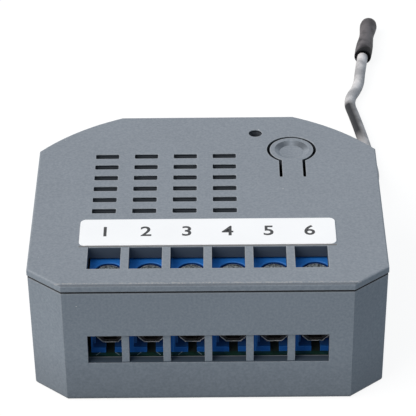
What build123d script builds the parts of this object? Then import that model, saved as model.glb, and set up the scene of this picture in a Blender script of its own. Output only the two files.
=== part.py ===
from build123d import *
import os
from math import cos, hypot, radians, sin, sqrt, tan

os.makedirs("parts", exist_ok=True)

# A flush-box relay module, in millimetres. The origin is the middle of the
# underside, +X is to the right of the terminals, +Y points to the rear and +Z up.

# Housing outline from above: straight cuts at the front, wide arcs at the rear
width = 48.0
depth = 42.5
front_cut_x = 4.7
front_cut_y = 3.95
corner_radius = 30.44
corner_centre_from_side = 24.0
corner_centre_from_back = 27.78

# Housing walls
wall = 1.6
floor_thick = 1.6
lid_thick = 1.8
lid_gap = 0.3
lid_band = 1.12
lid_overhang = 0.1
wall_draft = 0.25
lid_edge = 0.25
foot_round = 0.8
parting_cut = 0.15
plug_clear = 0.12
overrun = 1.0

# Main circuit board and the posts that carry it
board_thick = 1.6
board_lift = 3.15
board_clear = 0.4
post_radius = 1.6
peg_radius = 0.8
peg_clear = 0.12
peg_rise = 0.5
post_place_shares = ((-0.83, -0.67), (0.87, -0.65), (-0.76, 0.66), (0.87, 0.46))

# Clamping terminals: six poles share the front's width, two to a block
pole_count = 6
poles_per_block = 2
row_from_side = 7.41
pole_shift = 0.6
block_shift = 0.2
block_from_front = 2.78
block_deep = 6.72
block_floor = 0.78
cell_wall = 0.87
cell_high = 3.6
cell_slot = 1.2
cell_slot_deep = 3.2
recess_radius_share = 0.353
recess_lead = 0.1
web_thick = 0.87
head_drop = 0.1

# Screw, rising cage and fixed contact of each pole
thread_radius_share = 0.338
thread_pitch = 0.45
screw_turns = 4
screw_from_front = 6.35
head_clear = 0.2
head_high = 1.75
head_edge = 0.2
driver_slot_wide = 0.5
driver_slot_deep = 0.85
shank_clear = 0.08
nut_clear = 0.05
nut_thick = 1.6
cage_wide_share = 0.794
cage_deep = 4.4
cage_from_front = 3.85
cage_plate = 0.5
cage_wall = 0.45
cage_corner = 0.85
cage_side_clear = 0.15
cage_lift = 0.1
cage_top_clear = 0.09
wire_gap = 2.6
bar_wide_share = 0.857
bar_thick = 0.6
bar_clear = 0.06
leg_thick = 0.5
leg_from_cage = 0.15
leg_clear = 0.05
pin_wide = 1.0
pin_stub = 1.0
pin_clear = 0.1

# Solder joints under the board
joint_collar = 0.45
joint_high = 0.7
joint_clear = 0.02

# Windows in the lid over the screws, and in the front wall before the wires
screw_window_bar = 1.12
screw_window_long = 5.05
screw_window_from_front = 3.9
wire_window_bar = 1.0
wire_window_high = 4.5
wire_window_above_board = 0.12
rib_setback = 0.25

# Adhesive label behind the screw windows
label_past_row = 0.71
label_wide = 6.2
label_thick = 0.1
label_corner = 0.8
label_gap = 0.36

# Vents in the lid, as many columns and rows as fit left of the button
vent_long = 3.31
vent_wide = 1.17
vent_corner = 0.2
vent_pitch_x = 5.536
vent_pitch_y = 2.803
vent_from_label = 1.66
vent_from_left = 9.77
vent_from_button = 1.0
vent_from_back = 9.0

# Button tongue, cut out of the lid by a keyhole slot
button_from_right = 12.0
button_from_back = 9.16
button_radius = 3.1
button_slot = 0.42
tongue_wide = 2.9
tongue_long = 7.05
tongue_thick = 1.2
tongue_relief = 0.12
dish_radius = 2.45
dish_floor_radius = 1.7
dish_deep = 0.4
press_post_radius = 1.2

# Light beside the button
led_from_right = 17.08
led_from_back = 4.69
led_hole_radius = 0.965
led_radius = 0.8
led_below_top = 0.7
led_flange_radius = 1.15
led_flange_high = 0.4
led_under_lid = 0.9
led_lead_radius = 0.25
led_lead_pitch = 1.1
led_lead_clear = 0.1

# Snap hooks on the lid, two along the straight of each side
hook_wide = 4.0
hook_thick = 0.9
hook_long = 3.2
hook_nose = 0.45
hook_nose_high = 1.2
hook_clear = 0.1
hook_place_shares = (0.24, 0.875)

# Push switch under the button
switch_side = 6.0
switch_high = 3.4
switch_total_high = 9.5
switch_frame_thick = 0.25
switch_claw_wide = 1.2
plunger_radius = 1.6
plunger_clear = 0.06
plunger_foot_radius = 2.0
plunger_foot_high = 0.5
plunger_travel = 0.3
press_clear = 0.06
switch_pin_radius = 0.35
switch_pin_inset = 0.8

# Relay: cover, base, coil, magnet parts and contacts, from its left end.
# Its plan is a share of the board's length and of the depth behind the terminals
relay_long_share = 0.425
relay_wide_share = 0.34
relay_high = 10.3
relay_from_wall = 1.6
relay_gap = 1.1
relay_cover_wall = 0.6
relay_base_thick = 1.2
relay_fit = 0.05
yoke_thick = 1.0
yoke_from_pin = 0.35
yoke_from_cover = 0.2
coil_radius = 3.2
coil_winding_radius = 2.9
coil_tube_radius = 1.75
coil_flange = 0.6
coil_to_ends = 9.0
coil_above_base = 0.4
coil_to_yoke = 0.15
core_radius = 1.3
core_clear = 0.05
pole_radius = 1.6
pole_thick = 0.5
armature_gap = 0.45
armature_thick = 0.9
armature_inset = 0.4
armature_above_base = 2.0
yoke_end_gap = 0.1
blade_thick = 0.2
blade_wide = 2.4
blade_drop = 0.5
rivet_radius = 0.75
rivet_high = 0.35
rivet_above_base = 1.0
contact_strip_thick = 0.3
contact_strip_wide = 2.0
contact_strip_high = 1.9
contact_open_gap = 0.55
contact_rest_gap = 0.05
relay_pin_radius = 0.4
coil_pin_inset_x = 1.6
coil_pin_inset_y = 1.5

# Power supply parts, each sized to its share of the board in the same way
bulk_cap_radius_share = 0.13
bulk_cap_long_share = 0.274
bulk_cap_edge = 0.6
bulk_cap_from_wall = 2.3
bulk_cap_lead_radius = 0.3
bulk_cap_lead_pitch = 3.5
bulk_cap_lead_reach = 1.2
row_gap = 1.6
core_long_share = 0.233
core_wide = 4.6
core_high = 7.6
core_leg_share = 0.255
core_yoke = 1.4
core_side_share = 0.147
winding_fit = 0.1
winding_clear = 0.4
transformer_base_wide_share = 0.304
transformer_base_thick = 1.0
transformer_pin_radius = 0.3
transformer_pin_pitch = 2.5
transformer_pins_per_side = 4
transformer_gap = 2.1
output_cap_radius_share = 0.097
output_cap_high = 7.0
output_cap_edge = 0.4
output_cap_gap = 1.0
output_cap_place_share = -0.5
output_cap_lead_radius = 0.25
output_cap_lead_pitch = 2.5
choke_radius_share = 0.078
choke_neck_share = 0.5
choke_winding_share = 0.875
choke_flange = 0.8
choke_high = 5.5
choke_fit = 0.03
choke_gap = 1.0
choke_lead_radius = 0.3
choke_lead_pitch = 3.0
varistor_radius = 3.3
varistor_thick = 3.4
varistor_edge = 0.9
varistor_above_board = 0.8
varistor_gap = 1.6
varistor_lead_radius = 0.3
varistor_lead_pitch = 5.0
resistor_radius = 1.5
resistor_long = 8.0
resistor_edge = 0.4
resistor_above_board = 0.3
resistor_lead_radius = 0.3
resistor_lead_reach = 1.1
resistor_from_wall = 3.6

# Flat packages soldered to the underside of the board
package_edge = 0.15
package_leg_reach = 0.7
package_leg_thick = 0.2
package_leg_wide = 0.4
bridge_size = (4.8, 3.9, 2.0)
bridge_place_share = (-0.66, 0.12)
power_chip_size = (4.9, 3.9, 1.5)
power_chip_place_share = (-0.38, 0.02)
regulator_size = (6.5, 3.5, 1.6)
regulator_place_share = (0.28, -0.2)
optocoupler_size = (4.4, 3.8, 2.0)
optocoupler_place_share = (0.72, -0.25)

# Radio board, its shield and what it carries
radio_long_share = 0.274
radio_wide_share = 0.275
radio_thick = 0.8
radio_from_wall = 1.3
radio_gap = 1.6
shield_side = 0.95
shield_high = 2.0
shield_wall = 0.2
shield_inset = 0.6
radio_chip_side = 4.0
radio_chip_high = 0.9
crystal_long = 2.5
crystal_wide = 2.0
crystal_high = 0.7
crystal_gap = 0.6
crystal_inset = 0.7

# Antenna: a wire that leaves the rear right arc and lies behind the module
wire_radius = 0.9
wire_hole_clear = 0.12
wire_above_board = 0.05
antenna_angle = 48.8
antenna_lead_long = 5.6
antenna_core_radius = 0.35
antenna_core_long = 1.3
antenna_first_run = 3.2
antenna_route = (
    (24.3, 23.2, 5.6),
    (25.5, 29.6, 2.9),
    (25.5, 36.6, 1.2),
    (24.8, 43.6, 0.9),
    (23.75, 51.4, 0.9),
    (22.9, 56.4, 0.9),
    (24.95, 61.0, 0.9),
    (25.4, 65.3, 1.5),
    (26.1, 69.9, 1.5),
)
arc_run_share = 0.45
cap_radius = 1.46
cap_mouth_radius = 1.4
cap_waist_radius = 1.2
cap_long = 12.5
cap_waist_share = 0.56
cap_bulb_share = 0.86

# Levels and places that follow from the sizes above
front = -depth / 2
back = depth / 2
corner_centre_x = width / 2 - corner_centre_from_side
corner_centre_y = back - corner_centre_from_back
side_start = front + front_cut_y
side_end = corner_centre_y + sqrt(corner_radius**2 - corner_centre_from_side**2)
board_under = floor_thick + board_lift
board_top = board_under + board_thick
cell_floor = board_top + block_floor
cage_base = cell_floor + cage_lift
bar_base = cage_base + cage_plate + wire_gap
nut_base = bar_base + bar_thick + bar_clear
cage_top = nut_base + nut_thick
cage_travel = screw_turns * thread_pitch
web_base = cage_top + cage_travel + cage_top_clear
head_base = web_base + web_thick
block_top = head_base + head_high + head_drop
lid_under = block_top + lid_gap
lid_top = lid_under + lid_thick
base_top = lid_top - lid_band
inner_inset = lid_overhang + wall
board_inset = inner_inset + board_clear
half_inner = width / 2 - inner_inset
board_half_x = width / 2 - board_inset
board_half_y = depth / 2 - board_inset
screw_y = front + screw_from_front
pitch = (width - 2 * row_from_side) / pole_count
block_end = pitch / 2 - block_shift
cell_wide = pitch - cell_wall
cage_wide = cell_wide * cage_wide_share
thread_radius = cage_wide * thread_radius_share
recess_radius = pitch * recess_radius_share
head_radius = recess_radius - head_clear
bar_wide = (cage_wide - 2 * cage_wall) * bar_wide_share
screw_window_wide = pitch - screw_window_bar
wire_window_wide = pitch - wire_window_bar
block_front = front + block_from_front
block_back = block_front + block_deep
cage_front = front + cage_from_front
cage_back = cage_front + cage_deep
leg_front = cage_back + leg_from_cage
leg_back = leg_front + leg_thick
wire_window_base = board_top + wire_window_above_board
label_front = front + screw_window_from_front + screw_window_long + label_gap
label_back = label_front + label_wide
label_long = pole_count * pitch + 2 * label_past_row
button_x = width / 2 - button_from_right
button_y = back - button_from_back
tongue_root = button_y - tongue_long
led_x = width / 2 - led_from_right
led_y = back - led_from_back
plunger_top = board_top + switch_total_high
board_long = 2 * board_half_x
parts_deep = board_half_y - block_back
relay_long = board_long * relay_long_share
relay_wide = parts_deep * relay_wide_share
relay_x = -half_inner + relay_from_wall + relay_long / 2
relay_y = block_back + relay_gap + relay_wide / 2
relay_back = relay_y + relay_wide / 2
yoke_wide = relay_wide - 2 * (coil_pin_inset_y + relay_pin_radius + yoke_from_pin)
armature_wide = yoke_wide - 2 * armature_inset
coil_long = relay_long - coil_to_ends
bulk_cap_radius = parts_deep * bulk_cap_radius_share
bulk_cap_long = board_long * bulk_cap_long_share
core_long = board_long * core_long_share
core_leg = core_long * core_leg_share
core_side = core_long * core_side_share
core_window = (core_long - core_leg) / 2 - core_side
winding_over = core_window - winding_clear
transformer_base_wide = parts_deep * transformer_base_wide_share
output_cap_radius = parts_deep * output_cap_radius_share
choke_radius = parts_deep * choke_radius_share
choke_neck_radius = choke_radius * choke_neck_share
choke_winding_radius = choke_radius * choke_winding_share
radio_long = board_long * radio_long_share
radio_wide = parts_deep * radio_wide_share
shield_long = radio_long - shield_inset - crystal_gap - crystal_long - crystal_inset
shield_wide = radio_wide - 2 * shield_side


def span(x, y, z):
    """A block between three pairs of limits."""
    middle = Pos((x[0] + x[1]) / 2, (y[0] + y[1]) / 2, (z[0] + z[1]) / 2)
    return middle * Box(x[1] - x[0], y[1] - y[0], z[1] - z[0])


def rod(x, y, low, high, radius):
    """An upright round bar between two levels."""
    return Pos(x, y, (low + high) / 2) * Cylinder(radius, high - low)


def rod_x(low, high, y, z, radius):
    """A round bar along X between two places."""
    return Pos((low + high) / 2, y, z) * Rot(0, 90, 0) * Cylinder(radius, high - low)


def around(middle, size):
    """The two limits of a size set evenly about its middle."""
    return (middle - size / 2, middle + size / 2)


def pole_x(pole):
    """The middle of a pole, counted from the left."""
    return pole_shift + (pole - (pole_count - 1) / 2) * pitch


def window_x(pole):
    """The middle of a window, counted from the left."""
    return (pole - (pole_count - 1) / 2) * pitch


def outline(inset):
    """The housing's plan, drawn in from its largest size."""
    sheet = Rectangle(width, depth)
    across = corner_centre_from_side + overrun
    deep = corner_centre_from_back + overrun
    for side in (-1, 1):
        quarter = Pos(side * across / 2, deep / 2) * Rectangle(across, deep)
        sheet -= Pos(side * corner_centre_x, corner_centre_y) * (quarter - Circle(corner_radius))
        corner = Polyline(
            (side * width / 2, front),
            (side * (width / 2 - front_cut_x), front),
            (side * width / 2, front + front_cut_y),
            close=True,
        )
        sheet -= make_face(corner)
    if inset > 0:
        sheet = offset(sheet, -inset, kind=Kind.INTERSECTION)
    return sheet


def plate(inset, low, high):
    """A flat slab of the housing's plan between two levels."""
    return Pos(0, 0, low) * extrude(outline(inset), high - low)


def wire_exit():
    """Where the antenna wire leaves the wall, and the way that it points."""
    way = Vector(cos(radians(antenna_angle)), sin(radians(antenna_angle)), 0)
    reach = corner_radius - lid_overhang
    level = board_top + wire_above_board + wire_radius
    place = Vector(corner_centre_x, corner_centre_y, level) + way * reach
    return place, way


def post_places():
    """The four posts that carry the board."""
    return [(board_half_x * x, board_half_y * y) for x, y in post_place_shares]


def hook_places():
    """The lid's hooks: the side that each is on and its middle along Y."""
    straight = side_end - side_start
    places = [side_start + share * straight for share in hook_place_shares]
    return [(side, y) for side in (-1, 1) for y in places]


def base_shell():
    low = outline(lid_overhang + wall_draft)
    high = Pos(0, 0, base_top) * outline(lid_overhang)
    body = loft([low.face(), high.face()], ruled=True)
    body = chamfer(body.edges().group_by(Axis.Z)[-1], parting_cut)
    body = fillet(body.edges().group_by(Axis.Z)[0], foot_round)
    body -= plate(inner_inset, floor_thick, base_top + overrun)
    window_z = (wire_window_base, wire_window_base + wire_window_high)
    row_end = (pole_count - 1) * pitch + wire_window_wide
    body -= span(around(0, row_end), (front - overrun, front + rib_setback + wall_draft), window_z)
    for pole in range(pole_count):
        across = around(window_x(pole), wire_window_wide)
        body -= span(across, (front - overrun, front + inner_inset + overrun), window_z)
    for side, y in hook_places():
        deep = (half_inner - overrun, half_inner + hook_nose + hook_clear)
        x = (side * deep[0], side * deep[1])
        nose_base = lid_under - hook_long
        z = (nose_base - hook_clear, nose_base + hook_nose_high + hook_clear)
        body -= span((min(x), max(x)), around(y, hook_wide + 2 * hook_clear), z)
    place, way = wire_exit()
    bore = Cylinder(wire_radius + wire_hole_clear, 4 * wall)
    body -= Plane(origin=place, z_dir=way) * bore
    for x, y in post_places():
        body += rod(x, y, floor_thick, board_under, post_radius)
        body += rod(x, y, board_under, board_top + peg_rise, peg_radius)
    return body


def keyhole(radius, neck_wide, root):
    """The button's plan: a disc on a neck that runs back to its root line."""
    disc = Pos(button_x, button_y) * Circle(radius)
    neck = Pos(button_x, (root + button_y) / 2) * Rectangle(neck_wide, button_y - root)
    return disc + neck


def lid_hooks():
    hooks = []
    base = lid_under - hook_long
    for side, y in hook_places():
        outer = half_inner - plug_clear
        profile = Polyline(
            (side * (outer - hook_thick), lid_under),
            (side * outer, lid_under),
            (side * outer, base + hook_nose_high),
            (side * (outer + hook_nose), base + hook_nose_high),
            (side * outer, base),
            (side * (outer - hook_thick), base),
            close=True,
        )
        face = make_face(Plane.XZ * profile)
        hooks.append(Pos(0, y, 0) * extrude(face, hook_wide / 2, both=True))
    return hooks


def vent_slots():
    first_x = -width / 2 + vent_from_left
    first_y = label_back + vent_from_label + vent_wide / 2
    last_x = button_x - button_radius - button_slot - vent_from_button - vent_long / 2
    last_y = back - vent_from_back - vent_wide / 2
    columns = 1 + int((last_x - first_x) / vent_pitch_x)
    rows = 1 + int((last_y - first_y) / vent_pitch_y)
    slot = RectangleRounded(vent_long, vent_wide, vent_corner)
    cuts = []
    for column in range(columns):
        for row in range(rows):
            place = Pos(first_x + column * vent_pitch_x, first_y + row * vent_pitch_y)
            cuts.append(place * slot)
    return cuts


def lid_shell():
    body = plate(0, base_top, lid_top)
    body = fillet(body.edges().group_by(Axis.Z)[-1], lid_edge)
    body = chamfer(body.edges().group_by(Axis.Z)[0], parting_cut)
    body += plate(inner_inset + plug_clear, lid_under, base_top)
    through = lid_thick + 2 * overrun
    cuts = vent_slots()
    for pole in range(pole_count):
        y = front + screw_window_from_front + screw_window_long / 2
        cuts.append(Pos(window_x(pole), y) * Rectangle(screw_window_wide, screw_window_long))
    cuts.append(Pos(led_x, led_y) * Circle(led_hole_radius))
    slot_radius = button_radius + button_slot
    cuts.append(keyhole(slot_radius, tongue_wide + 2 * button_slot, tongue_root))
    for side in (-1, 1):
        slot_x = button_x + side * (tongue_wide + button_slot) / 2
        cuts.append(Pos(slot_x, tongue_root) * Circle(button_slot / 2))
    for cut in cuts:
        body -= Pos(0, 0, lid_under - overrun) * extrude(cut, through)
    for hook in lid_hooks():
        body += hook
    return body


def button_tongue():
    body = extrude(keyhole(button_radius, tongue_wide, tongue_root), tongue_thick)
    body = Pos(0, 0, lid_top - tongue_thick) * body
    sunk = (Align.CENTER, Align.CENTER, Align.MAX)
    dish = Cone(dish_floor_radius, dish_radius, dish_deep, align=sunk)
    body -= Pos(button_x, button_y, lid_top) * dish
    body += rod(button_x, button_y, plunger_top + press_clear, lid_top - tongue_thick, press_post_radius)
    below = lid_top - tongue_thick - overrun
    lean = tongue_relief * (tongue_thick + overrun) / tongue_thick
    relief = Polyline((tongue_root, lid_top), (tongue_root, below), (tongue_root + lean, below), close=True)
    wedge = extrude(make_face(Plane.YZ * relief), tongue_wide)
    body -= Pos(button_x - tongue_wide / 2, 0, 0) * wedge
    return body


def terminal_label():
    sheet = RectangleRounded(label_long, label_wide, label_corner)
    return Pos(0, (label_front + label_back) / 2, lid_top) * extrude(sheet, label_thick)


def terminal_block(index):
    first = index * poles_per_block
    left = pole_x(first) - block_end
    right = left + poles_per_block * pitch
    body = span((left, right), (block_front, block_back), (board_top, block_top))
    for pole in range(first, first + poles_per_block):
        x = pole_x(pole)
        cage_x = around(x, cage_wide + 2 * cage_side_clear)
        cage_y = (cage_front - cage_side_clear, cage_back + leg_clear)
        entry_y = (block_front - overrun, cage_front)
        body -= span(around(x, cell_wide), entry_y, (cell_floor, cell_floor + cell_high))
        body -= span(cage_x, cage_y, (cell_floor, web_base))
        slot_y = (block_front - overrun, block_front + cell_slot_deep)
        body -= span(around(x, cell_slot), slot_y, (board_top - overrun, cell_floor))
        leg_x = around(x, bar_wide + 2 * leg_clear)
        leg_y = (cage_back, leg_back + leg_clear)
        body -= span(leg_x, leg_y, (board_top - overrun, bar_base + bar_thick + leg_clear))
        body -= rod(x, screw_y, head_base, block_top + overrun, recess_radius)
        lead = Cone(recess_radius, recess_radius + recess_lead, recess_lead)
        body -= Pos(x, screw_y, block_top - recess_lead / 2) * lead
        body -= rod(x, screw_y, web_base - overrun, head_base + overrun, thread_radius + shank_clear)
    return body


def clamp_cage(pole):
    x = pole_x(pole)
    half = cage_wide / 2
    inner = half - cage_wall
    inner_corner = cage_corner - cage_wall / 2
    plate_top = cage_base + cage_plate
    outer = make_face(Polyline(
        (-half, cage_top),
        (-half, cage_base + cage_corner),
        (-half + cage_corner, cage_base),
        (half - cage_corner, cage_base),
        (half, cage_base + cage_corner),
        (half, cage_top),
        close=True,
    ))
    hole = make_face(Polyline(
        (-inner, nut_base),
        (-inner, plate_top + inner_corner),
        (-inner + inner_corner, plate_top),
        (inner - inner_corner, plate_top),
        (inner, plate_top + inner_corner),
        (inner, nut_base),
        close=True,
    ))
    ring = extrude(Plane.XZ * (outer - hole), -cage_deep)
    body = Pos(x, cage_front, 0) * ring
    return body - rod(x, screw_y, nut_base - overrun, cage_top + overrun, thread_radius + nut_clear)


def clamp_screw(pole):
    x = pole_x(pole)
    head_top = head_base + head_high
    head = rod(x, screw_y, head_base, head_top, head_radius)
    head = chamfer(head.edges().group_by(Axis.Z)[-1], head_edge)
    slot_z = (head_top - driver_slot_deep, head_top + overrun)
    head -= span(around(x, 2 * head_radius + overrun), around(screw_y, driver_slot_wide), slot_z)
    tip = bar_base + bar_thick + bar_clear
    return head + rod(x, screw_y, tip, head_base, thread_radius)


def terminal_contacts():
    body = []
    for pole in range(pole_count):
        x = pole_x(pole)
        bar = span(around(x, bar_wide), (cage_front, leg_back), (bar_base, bar_base + bar_thick))
        leg = span(around(x, bar_wide), (leg_front, leg_back), (board_top, bar_base))
        pin = span(around(x, pin_wide), (leg_front, leg_back), (board_under - pin_stub, board_top))
        body.append(bar + leg + pin)
    return Compound(children=body)


def terminal_leads():
    """Through pins of the terminals: place and radius of the circle round each."""
    reach = hypot(pin_wide / 2, leg_thick / 2)
    return [(pole_x(pole), (leg_front + leg_back) / 2, reach) for pole in range(pole_count)]


# The relay's inner places, each worked out from the piece before it
relay_left = relay_x - relay_long / 2
relay_inner_base = board_top + relay_base_thick
yoke_left = relay_left + relay_cover_wall + yoke_from_cover
coil_left = yoke_left + yoke_thick
coil_right = coil_left + coil_long
coil_z = relay_inner_base + coil_above_base + coil_radius
yoke_base = coil_z + coil_radius + coil_to_yoke
yoke_top = yoke_base + yoke_thick
pole_face = coil_right + core_clear + pole_thick
armature_left = pole_face + armature_gap
armature_right = armature_left + armature_thick
rivet_z = relay_inner_base + rivet_above_base
open_face = armature_right - rivet_high - contact_open_gap
closed_face = armature_right + blade_thick + rivet_high + contact_rest_gap


def relay_cover():
    x = around(relay_x, relay_long)
    y = around(relay_y, relay_wide)
    top = board_top + relay_high
    body = span(x, y, (board_top, top))
    body = fillet(body.edges().filter_by(Axis.Z), relay_cover_wall)
    inner_x = around(relay_x, relay_long - 2 * relay_cover_wall)
    inner_y = around(relay_y, relay_wide - 2 * relay_cover_wall)
    return body - span(inner_x, inner_y, (board_top - overrun, top - relay_cover_wall))


def relay_base():
    across = relay_long - 2 * (relay_cover_wall + relay_fit)
    deep = relay_wide - 2 * (relay_cover_wall + relay_fit)
    body = span(around(relay_x, across), around(relay_y, deep), (board_top, relay_inner_base))
    for x, y, radius in relay_leads():
        body -= rod(x, y, board_top - overrun, relay_inner_base + overrun, radius + relay_fit)
    return body


def relay_coil_pin_places():
    x = relay_left + coil_pin_inset_x
    y = relay_wide / 2 - coil_pin_inset_y
    return [(x, relay_y - y), (x, relay_y + y)]


def relay_contact_places():
    closed_x = closed_face + rivet_high + contact_strip_thick / 2
    open_x = open_face - rivet_high - contact_strip_thick / 2
    return [(open_x, relay_y), (closed_x, relay_y)]


def relay_leads():
    places = relay_coil_pin_places() + relay_contact_places()
    return [(x, y, relay_pin_radius) for x, y in places]


def relay_coil_pins():
    pins = []
    for x, y in relay_coil_pin_places():
        pins.append(rod(x, y, board_under - pin_stub, coil_z - coil_radius, relay_pin_radius))
    return Compound(children=pins)


def relay_bobbin():
    body = rod_x(coil_left, coil_right, relay_y, coil_z, coil_tube_radius)
    body += rod_x(coil_left, coil_left + coil_flange, relay_y, coil_z, coil_radius)
    body += rod_x(coil_right - coil_flange, coil_right, relay_y, coil_z, coil_radius)
    foot = (relay_y - coil_tube_radius, relay_y + coil_tube_radius)
    foot_z = (relay_inner_base, coil_z)
    body += span((coil_left, coil_left + coil_flange), foot, foot_z)
    body += span((coil_right - coil_flange, coil_right), foot, foot_z)
    bore = core_radius + core_clear
    return body - rod_x(coil_left - overrun, coil_right + overrun, relay_y, coil_z, bore)


def relay_winding():
    inner = (coil_left + coil_flange, coil_right - coil_flange)
    body = rod_x(*inner, relay_y, coil_z, coil_winding_radius)
    return body - rod_x(*inner, relay_y, coil_z, coil_tube_radius)


def relay_core():
    body = rod_x(coil_left, pole_face, relay_y, coil_z, core_radius)
    return body + rod_x(pole_face - pole_thick, pole_face, relay_y, coil_z, pole_radius)


def relay_yoke():
    y = around(relay_y, yoke_wide)
    end = armature_left - yoke_end_gap
    top = span((yoke_left, end), y, (yoke_base, yoke_top))
    return top + span((yoke_left, coil_left), y, (relay_inner_base, yoke_base))


def relay_armature():
    y = around(relay_y, armature_wide)
    return span((armature_left, armature_right), y, (relay_inner_base + armature_above_base, yoke_top))


def relay_blade():
    strip_z = (rivet_z - rivet_radius, yoke_top - blade_drop)
    strip_x = (armature_right, armature_right + blade_thick)
    strip = span(strip_x, around(relay_y, blade_wide), strip_z)
    return strip + rod_x(strip_x[0] - rivet_high, strip_x[1] + rivet_high, relay_y, rivet_z, rivet_radius)


def relay_contact(place, face, side):
    """A fixed contact: its rivet, its strip and its pin through the board."""
    x, y = place
    strip_x = around(x, contact_strip_thick)
    strip_y = around(y, contact_strip_wide)
    body = span(strip_x, strip_y, (relay_inner_base, relay_inner_base + contact_strip_high))
    rivet = sorted((face, face + side * rivet_high))
    body += rod_x(*rivet, y, rivet_z, rivet_radius)
    return body + rod(x, y, board_under - pin_stub, relay_inner_base, relay_pin_radius)


def bulk_cap_axis():
    """The reservoir capacitor's left end, its middle along Y and its height."""
    left = -half_inner + bulk_cap_from_wall
    return left, relay_back + row_gap + bulk_cap_radius, board_top + bulk_cap_radius


def bulk_cap_leads():
    left, y, _ = bulk_cap_axis()
    x = left + bulk_cap_long + bulk_cap_lead_reach
    half = bulk_cap_lead_pitch / 2
    return [(x, y - half, bulk_cap_lead_radius), (x, y + half, bulk_cap_lead_radius)]


def bulk_capacitor():
    left, y, z = bulk_cap_axis()
    right = left + bulk_cap_long
    body = rod_x(left, right, y, z, bulk_cap_radius)
    body = fillet(body.edges().filter_by(GeomType.CIRCLE), bulk_cap_edge)
    for x, lead_y, radius in bulk_cap_leads():
        body += rod_x(right - bulk_cap_edge, x + radius, lead_y, z, radius)
        body += rod(x, lead_y, board_under - pin_stub, z, radius)
    return body


def transformer_place():
    """The middle of the transformer on the board."""
    lead_x = bulk_cap_leads()[0][0]
    return lead_x + transformer_gap + core_long / 2, relay_back + row_gap + transformer_base_wide / 2


def transformer_leads():
    x, y = transformer_place()
    side = transformer_base_wide / 2 - 2 * transformer_pin_radius
    places = []
    for number in range(transformer_pins_per_side):
        across = (number - (transformer_pins_per_side - 1) / 2) * transformer_pin_pitch
        places += [(x + across, y - side, transformer_pin_radius)]
        places += [(x + across, y + side, transformer_pin_radius)]
    return places


def transformer_base():
    x, y = transformer_place()
    top = board_top + transformer_base_thick
    body = span(around(x, core_long), around(y, transformer_base_wide), (board_top, top))
    for lead_x, lead_y, radius in transformer_leads():
        body += rod(lead_x, lead_y, board_under - pin_stub, board_top, radius)
    return body


def transformer_core():
    x, y = transformer_place()
    base = board_top + transformer_base_thick
    body = span(around(x, core_long), around(y, core_wide), (base, base + core_high))
    for side in (-1, 1):
        middle = x + side * (core_leg + core_window) / 2
        z = (base + core_yoke, base + core_high - core_yoke)
        body -= span(around(middle, core_window), around(y, core_wide + overrun), z)
    return body


def transformer_winding():
    x, y = transformer_place()
    base = board_top + transformer_base_thick
    z = (base + core_yoke + winding_fit, base + core_high - core_yoke - winding_fit)
    wide = core_leg + 2 * winding_over
    deep = core_wide + 2 * winding_over
    body = span(around(x, wide), around(y, deep), z)
    body = fillet(body.edges().filter_by(Axis.Z), winding_over / 2)
    hole_x = around(x, core_leg + 2 * winding_fit)
    hole_y = around(y, core_wide + 2 * winding_fit)
    return body - span(hole_x, hole_y, (base, base + core_high))


def output_cap_place():
    y = transformer_place()[1] + transformer_base_wide / 2 + output_cap_gap + output_cap_radius
    return output_cap_place_share * board_half_x, y


def output_cap_leads():
    x, y = output_cap_place()
    half = output_cap_lead_pitch / 2
    return [(x - half, y, output_cap_lead_radius), (x + half, y, output_cap_lead_radius)]


def output_capacitor():
    x, y = output_cap_place()
    body = rod(x, y, board_top, board_top + output_cap_high, output_cap_radius)
    body = fillet(body.edges().group_by(Axis.Z)[-1], output_cap_edge)
    for lead_x, lead_y, radius in output_cap_leads():
        body += rod(lead_x, lead_y, board_under - pin_stub, board_top, radius)
    return body


def choke_place():
    x, y = output_cap_place()
    return x + output_cap_radius + choke_gap + choke_radius, y


def choke_leads():
    x, y = choke_place()
    half = choke_lead_pitch / 2
    return [(x - half, y, choke_lead_radius), (x + half, y, choke_lead_radius)]


def choke_core():
    x, y = choke_place()
    top = board_top + choke_high
    body = rod(x, y, board_top, top, choke_neck_radius)
    body += rod(x, y, board_top, board_top + choke_flange, choke_radius)
    body += rod(x, y, top - choke_flange, top, choke_radius)
    for lead_x, lead_y, radius in choke_leads():
        body += rod(lead_x, lead_y, board_under - pin_stub, board_top, radius)
    return body


def choke_winding():
    x, y = choke_place()
    z = (board_top + choke_flange, board_top + choke_high - choke_flange)
    return rod(x, y, *z, choke_winding_radius) - rod(x, y, *z, choke_neck_radius + choke_fit)


def varistor_place():
    x = relay_x + relay_long / 2 + varistor_gap + varistor_thick / 2
    return x, block_back + relay_gap + varistor_radius


def varistor_leads():
    x, y = varistor_place()
    half = varistor_lead_pitch / 2
    return [(x, y - half, varistor_lead_radius), (x, y + half, varistor_lead_radius)]


def varistor():
    x, y = varistor_place()
    z = board_top + varistor_above_board + varistor_radius
    body = rod_x(x - varistor_thick / 2, x + varistor_thick / 2, y, z, varistor_radius)
    body = fillet(body.edges().filter_by(GeomType.CIRCLE), varistor_edge)
    for lead_x, lead_y, radius in varistor_leads():
        body += rod(lead_x, lead_y, board_under - pin_stub, z, radius)
    return body


def resistor_place():
    x = half_inner - resistor_from_wall - resistor_lead_reach - resistor_long / 2
    return x, block_back + relay_gap + resistor_radius


def resistor_leads():
    x, y = resistor_place()
    reach = resistor_long / 2 + resistor_lead_reach
    return [(x - reach, y, resistor_lead_radius), (x + reach, y, resistor_lead_radius)]


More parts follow.
